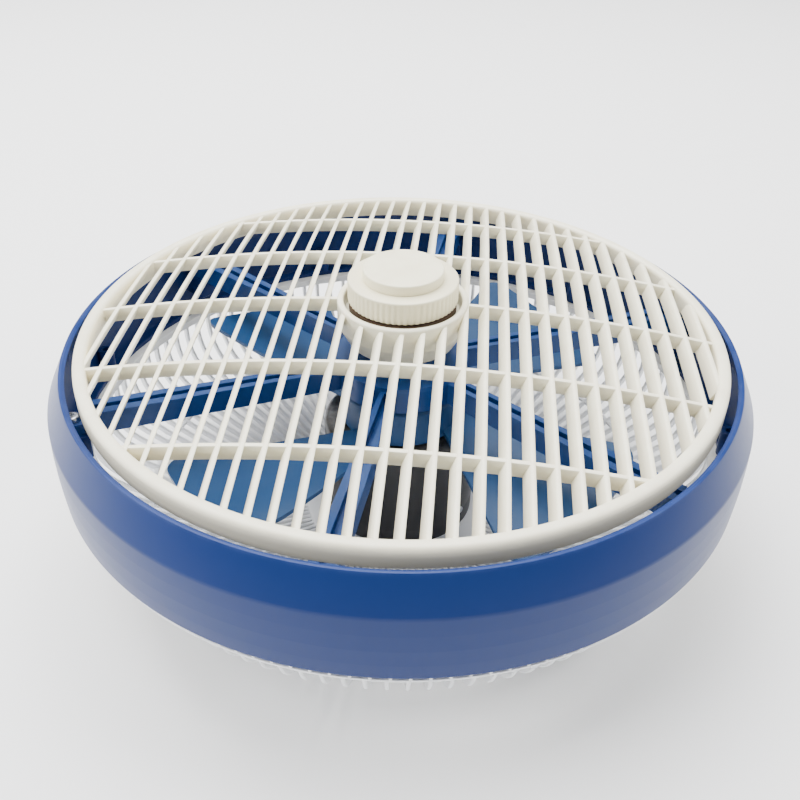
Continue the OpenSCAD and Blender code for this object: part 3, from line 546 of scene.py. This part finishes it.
deep = lattice.node("ShaderNodeSeparateXYZ", {}, {0: spot_two}, out="Y") + given["Depth"] * 0.5
sheared = lattice.node("ShaderNodeCombineXYZ", {},
    {"X": wide - deep * given["Lean"].math("TANGENT", given["Lean"]), "Y": deep})
bar_section = lattice.node("GeometryNodeSetPosition", {}, {"Geometry": bar_section, "Position": sheared})
swept = lattice.node("GeometryNodeCurveToMesh", {},
    {"Curve": laid, "Profile Curve": bar_section, "Fill Caps": True})
rest_turn = lattice.node("ShaderNodeCombineXYZ", {}, {"Z": given["Turn"]})
lattice.close(lattice.node("GeometryNodeTransform", {}, {"Geometry": swept, "Rotation": rest_turn}))
slats = lattice.grow("grille_slats", grille_ivory)
bars = lattice.grow(
    "grille_bars", grille_ivory, Rows=5, Pitch=0.0523, Shift=0.0, Thickness=0.0024, Depth=0.007, Lean=0.0,
    Sink=0.0004, Seam=0.00475, Turn=math.radians(92))
for piece in (rim, hub, slats, bars):
    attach(piece, "louvre")
    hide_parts("louvre_grille")


# ---- Lock knob
# Two ivory steps on the spindle: a fluted base that presses the brake, and a smooth cap snapped into it.
# The flutes are shallow and stop under the base's rounded edge.
knob_ivory = moulded("knob_ivory", (0.91, 0.85, 0.62), (0.88, 0.82, 0.58), 0.32, (0.142, 0.1434), IOR=1.5)
flute_count, flute_depth, flute_top, flute_fade = 60, 0.45, 137.0, 0.8


def fluted(radius, height, angle):
    """The knob base's wall radius, cut in by a flute, which fades out under the rounded edge."""
    if radius < 25.0 or height > flute_top:
        return radius
    wave = (0.5 + 0.5 * math.cos(flute_count * angle)) ** 1.5
    return radius - flute_depth * wave * min(1.0, (flute_top - height) / flute_fade)


knob_base = turned("knob_base_body", softened([
    (9, 126.6, 0.3), (14, 126.6, 0.3), (14, 127.6, 0.3), (26, 127.6, 0.5), (26, 136.2, 0), (26, 138.4, 2.2),
    (12, 138.4, 0.4), (12, 136.1, 0.2), (4.08, 136.1, 0.2), (4.08, 129.4, 0.2),
    (9, 129.4, 0.2)], 6), knob_ivory, 480, cut=fluted)
knob_cap = turned("knob_cap_body", softened([
    (0, 143.4, 0), (17.0, 143.4, 0), (19, 143.4, 1.5), (19, 138.4, 0.3), (11.95, 138.4, 0.2),
    (11.95, 136.4, 0.3), (9.5, 136.4, 0.3), (9.5, 140.9, 0.3), (0, 140.9, 0)], 6), knob_ivory, 144)
for piece, node in ((knob_base, "knob_base"), (knob_cap, "knob_cap")):
    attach(piece, "knob")
    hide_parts(node)


# ---- Motor shell
# A pressed steel can with black paint, on an end cap of black glass-filled plastic.
# The paint is satin with a fine orange peel, and the cap shows its moulding's grain.
can_black = Finish("can_black", Specular_IOR_Level=0.5)
peel = can_black.noise(900.0, 2.0)
cloud = can_black.noise(14.0, 3.0)
rubbed = can_black.rubbed(0.0575, 0.0602, 160.0)
paint = can_black.blend(cloud, (0.012, 0.012, 0.014), (0.03, 0.03, 0.033))
can_black.drive("Base Color", can_black.blend(rubbed * 0.6, paint, (0.16, 0.16, 0.165)))
can_black.drive("Roughness", cloud * 0.12 + rubbed * 0.1 + 0.32)
can_black.bump(peel, 0.00003)
dress(["motor_can"], can_black)
cap_black = moulded("cap_black", (0.02, 0.02, 0.022), (0.04, 0.04, 0.043), 0.5, (0.012, 0.0141),
    ripple=0.00006)
dress(["motor_end_cap"], cap_black)
inlet_black = moulded("inlet_black", (0.018, 0.018, 0.018), (0.035, 0.035, 0.035), 0.62, (0.0035, 0.0048),
    ripple=0.00005)
dress(["lead_grommet"], inlet_black)


# ---- Motor's inside
# Ferrite magnets, brass brush tubes with carbon brushes, a laminated core, copper windings and commutator.
# Cast, stamped, cut or wound, each shows its own grain.
ferrite = Finish("ferrite", Roughness=0.7)
grit = ferrite.noise(500.0, 4.0)
ferrite.drive("Base Color", ferrite.blend(grit, (0.05, 0.05, 0.055), (0.12, 0.12, 0.125)))
ferrite.bump(grit, 0.00008)
dress(["motor_magnets"], ferrite)
carbon = Finish("carbon", Roughness=0.55)
smear = carbon.noise(420.0, 3.0)
carbon.drive("Base Color", carbon.blend(smear, (0.02, 0.02, 0.02), (0.06, 0.06, 0.062)))
carbon.bump(smear, 0.00004)
dress(["brushes"], carbon)


def metal(name, colour, shade, rough, grain=(900.0, 900.0, 40.0), depth=0.00002):
    """A bare metal with a fine grain, stretched by the three scales of grain."""
    finish = Finish(name, Metallic=1.0)
    stretched = finish.node("ShaderNodeMapping", {}, {"Vector": finish.place(), "Scale": grain})
    lines = finish.noise(1.0, 3.0, 0.6, stretched)
    tone = finish.noise(70.0, 3.0)
    bright = tuple(min(1.0, part * 1.15 + 0.03) for part in colour)
    scuffs = finish.band(finish.noise(240.0, 4.0, 0.7), 0.56, 0.66)
    finish.drive("Base Color",
        finish.blend(scuffs * 0.5, finish.blend(lines * 0.5 + tone * 0.5, colour, shade), bright))
    finish.drive("Roughness", lines * 0.16 - scuffs * 0.05 + (rough - 0.08))
    finish.bump(lines, depth)
    return finish


brass = metal("brass", (0.78, 0.55, 0.22), (0.62, 0.42, 0.16), 0.32)
dress(["brush_holders", "terminal_tabs"], brass)
bronze = metal("bronze", (0.55, 0.36, 0.18), (0.42, 0.27, 0.13), 0.42)
dress(["front_bearing", "rear_bearing", "louvre_bush"], bronze)
copper = metal("copper", (0.80, 0.37, 0.19), (0.62, 0.25, 0.12), 0.3, (500.0, 500.0, 500.0), 0.00006)
dress(["commutator", "rotor_windings"], copper)
lamination = metal("lamination", (0.42, 0.43, 0.45), (0.25, 0.26, 0.28), 0.4, (60.0, 60.0, 2600.0), 0.00005)
dress(["rotor_core"], lamination)


# ---- Shafts, screws, nuts and washers
# The motor's shaft and the spindle are ground steel, and the fasteners are steel with bright zinc.
# Ground round the axis on the shafts, tumbled on the small parts.
ground_steel = metal("ground_steel", (0.68, 0.68, 0.7), (0.5, 0.5, 0.52), 0.2, (60.0, 60.0, 2400.0))
dress(["motor_shaft", "spindle"], ground_steel)
zinc = metal("zinc", (0.66, 0.68, 0.72), (0.5, 0.52, 0.55), 0.3, (420.0, 420.0, 420.0), 0.00003)
dress([
    "spider_screws", "cage_screws", "can_screws", "motor_screws", "impeller_washer", "impeller_nut",
    "spindle_nut", "retaining_clip", "spring_seat", "knob_screw"], zinc)
nylon = moulded("nylon", (0.82, 0.82, 0.79), (0.76, 0.76, 0.72), 0.4, (0.0994, 0.1))
dress(["thrust_washer"], nylon)


# ---- Brake disc and felt
# A brown phenolic disc rides in the grille's hub under the knob, with a grey felt ring glued below it.
# The disc is pressed from powder, and the felt is matted wool.
phenolic = moulded("phenolic", (0.07, 0.04, 0.025), (0.12, 0.075, 0.05), 0.5, (0.1255, 0.1264),
    ripple=0.00007)
dress(["brake_disc"], phenolic)
felt = Finish("felt", Roughness=0.95, Sheen_Weight=0.4)
wool = felt.noise(700.0, 6.0, 0.7)
felt.drive("Base Color", felt.blend(wool, (0.16, 0.155, 0.15), (0.34, 0.33, 0.31)))
felt.bump(wool, 0.0003)
dress(["brake_lining"], felt)


# ---- Release spring
# A coil of hard-drawn steel wire that lifts the brake disc off the hub when the knob is turned back.
# It stands on its seat round the spindle.
spring_low, spring_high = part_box("release_spring")
wire_r = 0.0008
coil = Grower("coil_spring", Turns=3.5, Coil_radius=0.01, Height=0.005, Wire_radius=wire_r, Foot=0.1)
helix = coil.node("GeometryNodeCurveSpiral", {}, {
    "Resolution": 40, "Rotations": coil.given["Turns"], "Start Radius": coil.given["Coil_radius"],
    "End Radius": coil.given["Coil_radius"], "Height": coil.given["Height"]})
wire_section = coil.node("GeometryNodeCurvePrimitiveCircle", {},
    {"Resolution": 14, "Radius": coil.given["Wire_radius"]})
wound = coil.node("GeometryNodeCurveToMesh", {},
    {"Curve": helix, "Profile Curve": wire_section, "Fill Caps": True})
foot = coil.node("ShaderNodeCombineXYZ", {}, {"Z": coil.given["Foot"]})
coil.close(coil.node("GeometryNodeTransform", {}, {"Geometry": wound, "Translation": foot}))
spring_wire = metal("spring_wire", (0.6, 0.61, 0.63), (0.42, 0.43, 0.45), 0.25, (300.0, 300.0, 300.0))
spring_h = spring_high[2] - spring_low[2] - 2 * wire_r
spring = coil.grow("release_spring_coil", spring_wire, Height=spring_h, Foot=spring_low[2] + wire_r)
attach(spring, "housing")
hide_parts("release_spring")
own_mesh(spring)
